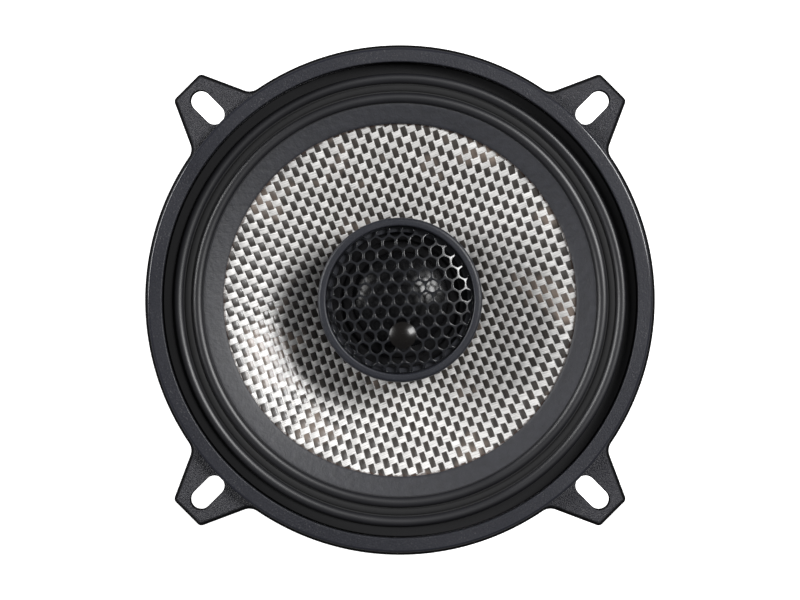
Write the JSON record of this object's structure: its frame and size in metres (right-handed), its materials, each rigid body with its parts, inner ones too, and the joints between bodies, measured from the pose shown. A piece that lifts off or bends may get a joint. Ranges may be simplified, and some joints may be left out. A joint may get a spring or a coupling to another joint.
{
  "type": "coaxial car speaker",
  "caption": "Round coaxial car speaker with a woven cone, double-roll surround, mesh-covered dome tweeter on a post, and a basket with slotted ears.",
  "frame": {"origin": "centre of the magnet system's rear face", "axes": "+Z along the speaker's axis, out of its front; the terminals are on the -Y side, and the four ears point along the diagonals of X and Y"},
  "size_m": [0.133, 0.133, 0.0616],
  "materials": {
    "painted_basket": "wrinkled black powder coat",
    "trim_rubber": "matte, fine grain",
    "seal_foam": "closed-cell foam",
    "surround_rubber": "smooth, slightly satin",
    "woven_glass": "plain weave of glass fibre under clear resin",
    "felt": "felt",
    "polyimide": "amber film",
    "copper": "copper wire",
    "spider_cloth": "resin-treated cotton",
    "zinc_steel": "zinc plated",
    "ferrite": "ground ferrite",
    "board": "phenolic board",
    "tin_plate": "tin plated",
    "black_plastic": "satin moulded",
    "mesh_steel": "dark satin",
    "badge_gloss": "clear gloss over black",
    "dome_cloth": "coated cloth",
    "blue_sleeve": "shrink sleeve",
    "red_insulation": "smooth",
    "dark_insulation": "smooth"
  },
  "bodies": {
    "frame": {"basket": "painted_basket", "trim_ring": "trim_rubber", "mounting_gasket": "seal_foam", "surround": "surround_rubber", "spider": "spider_cloth", "front_plate": "zinc_steel", "magnet": "ferrite", "yoke": "zinc_steel", "basket_rivet_1": "zinc_steel", "basket_rivet_2": "zinc_steel", "basket_rivet_3": "zinc_steel", "basket_rivet_4": "zinc_steel", "terminal_board": "board", "board_screw_left": "zinc_steel", "board_screw_right": "zinc_steel", "positive_terminal": "tin_plate", "negative_terminal": "tin_plate", "positive_terminal_rivet": "tin_plate", "negative_terminal_rivet": "tin_plate", "crossover_capacitor": "blue_sleeve", "capacitor_lead_in": "tin_plate", "capacitor_lead_out": "tin_plate", "positive_tinsel_lead": "copper", "negative_tinsel_lead": "copper", "positive_tweeter_wire": "red_insulation", "negative_tweeter_wire": "dark_insulation", "tweeter_post": "black_plastic", "post_washer": "zinc_steel", "post_nut": "zinc_steel", "tweeter_housing": "black_plastic", "tweeter_bezel": "black_plastic", "tweeter_grille": "mesh_steel", "badge": "badge_gloss", "tweeter_cup": "zinc_steel", "tweeter_magnet": "zinc_steel", "tweeter_top_plate": "zinc_steel", "tweeter_pad": "felt", "tweeter_suspension": "dome_cloth", "tweeter_clamp_ring": "black_plastic"},
    "cone_assembly": {"cone": "woven_glass", "dust_ring": "felt", "voice_coil_former": "polyimide", "voice_coil_winding": "copper"},
    "tweeter_diaphragm": {"tweeter_dome": "dome_cloth", "tweeter_former": "polyimide", "tweeter_coil": "copper"}
  },
  "joints": [
    {"name": "cone_stroke", "type": "slide", "parent": "frame", "child": "cone_assembly", "axis": [0, 0, 1], "range_m": [-0.004, 0.004], "stiffness_N_per_m": 1500, "deforming": ["surround", "spider", "positive_tinsel_lead", "negative_tinsel_lead"]},
    {"name": "tweeter_dome_stroke", "type": "slide", "parent": "frame", "child": "tweeter_diaphragm", "axis": [0, 0, 1], "range_m": [-0.0003, 0.0003], "stiffness_N_per_m": 5000, "deforming": ["tweeter_suspension"]}
  ]
}
